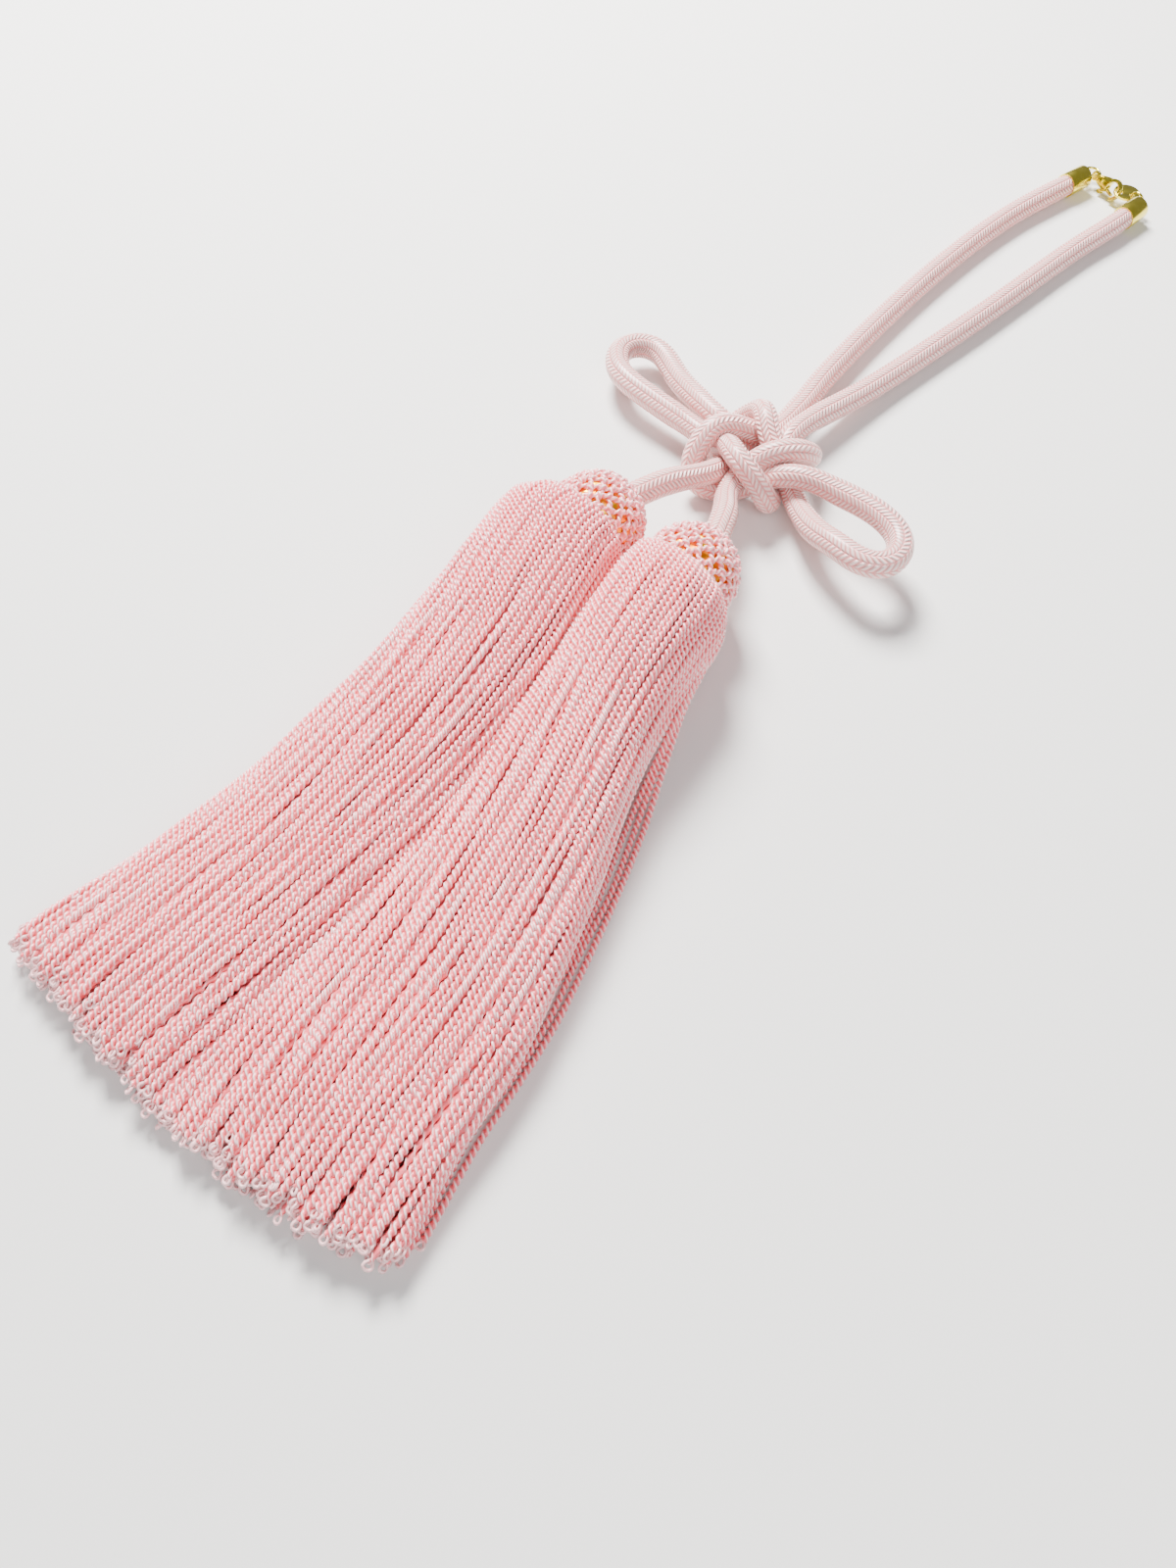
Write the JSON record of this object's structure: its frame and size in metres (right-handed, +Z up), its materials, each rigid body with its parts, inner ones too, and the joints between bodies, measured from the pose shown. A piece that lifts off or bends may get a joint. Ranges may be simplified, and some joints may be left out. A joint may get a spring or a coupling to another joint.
{
  "type": "agemaki knot tassel",
  "caption": "Ornamental tassel of braided cords tied in an agemaki knot, closed by a small lobster clasp and ending in netted heads with long fringes.",
  "frame": {"origin": "on the surface that the tassel lies on, under the middle of its box", "axes": "+Y along the length from the fringes to the clasp, +X towards the right ear, +Z up off the surface"},
  "size_m": [0.1297, 0.4141, 0.0326],
  "materials": {
    "cord": "very pale pink braided cord with a satin sheen",
    "gold": "polished yellow gold plating",
    "foil": "orange-gold metallic foil cloth",
    "net": "pink twisted cord, knotted",
    "strands": "pale pink strands of two twisted plies, satin"
  },
  "bodies": {
    "tassel": {"cord_left": "cord", "cord_right": "cord", "cap_left": "gold", "cap_right": "gold", "clasp_ring": "gold", "clasp_body": "gold", "clasp_plate": "gold", "plate_ring": "gold", "head_core_left": "foil", "head_core_right": "foil", "head_net_left": "net", "head_net_right": "net", "fringe_left": "strands", "fringe_right": "strands"},
    "lever": {"clasp_lever": "gold"}
  },
  "joints": [
    {"name": "lever_hinge", "type": "hinge", "parent": "tassel", "child": "lever", "pos_m": [0.00754, 0.19931, 0.00306], "axis": [-0.409, -0.846, 0.342], "range_deg": [0, 20], "stiffness_Nm_per_rad": 0.001, "springref_deg": -11.46}
  ]
}
